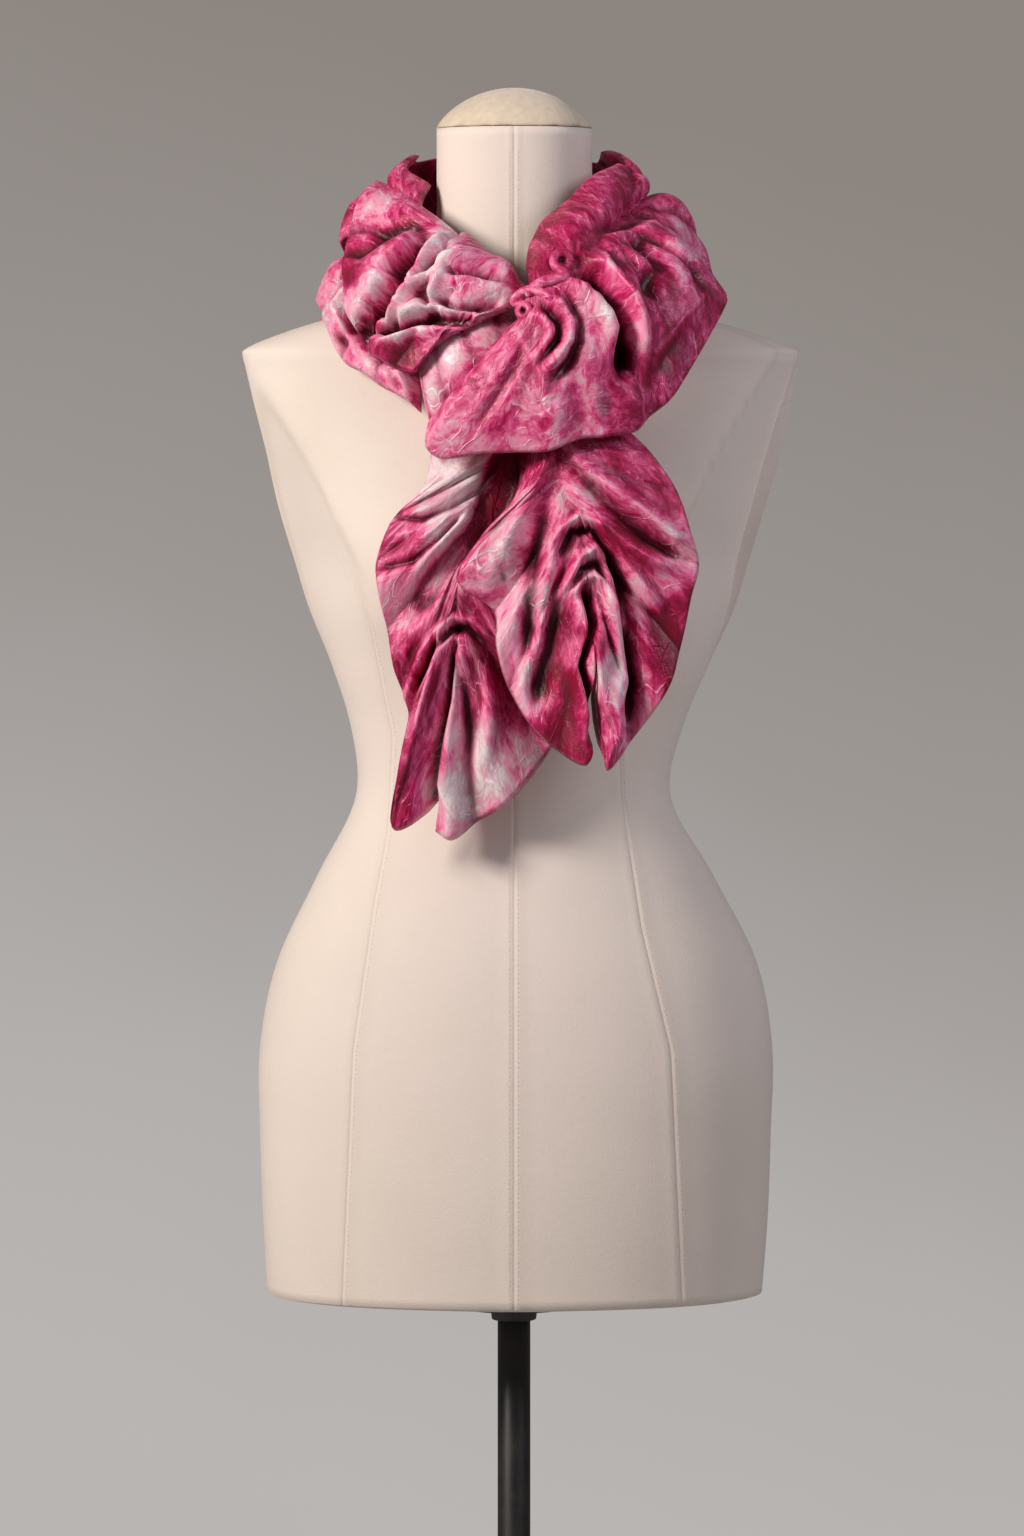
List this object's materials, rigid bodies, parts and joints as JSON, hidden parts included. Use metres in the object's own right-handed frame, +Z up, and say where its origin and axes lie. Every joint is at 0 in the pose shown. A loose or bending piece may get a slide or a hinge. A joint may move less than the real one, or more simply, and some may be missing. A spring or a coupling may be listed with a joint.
{
  "type": "velvet scarf on dress form",
  "caption": "Gathered velvet tube scarf, folded in half and looped round the neck of a limbless dress form on a round-base stand.",
  "frame": {"origin": "centre of the base plate's underside, on the floor, below the pole", "axes": "+Z up along the pole, -Y towards the front of the form, +X to the right of the front view"},
  "size_m": [0.42, 0.42, 1.6308],
  "materials": {
    "scarf_velvet": "crushed silk velvet, marbled dye from crimson to silver grey",
    "form_jersey": "fine cream jersey stretched over a moulded body",
    "form_cap_cotton": "matte cream cotton over a domed plug",
    "stand_black_steel": "satin black powder coat"
  },
  "bodies": {
    "root": {"scarf_under_strand": "scarf_velvet", "scarf_top_strand_back": "scarf_velvet", "scarf_top_strand_left": "scarf_velvet", "scarf_throat": "scarf_velvet", "scarf_left_end": "scarf_velvet", "scarf_right_end": "scarf_velvet", "scarf_loop": "scarf_velvet", "form_torso": "form_jersey", "form_underside_panel": "form_jersey", "form_neck_cap": "form_cap_cotton", "stand_top_plate": "stand_black_steel", "stand_pole": "stand_black_steel", "stand_base": "stand_black_steel"}
  },
  "joints": []
}
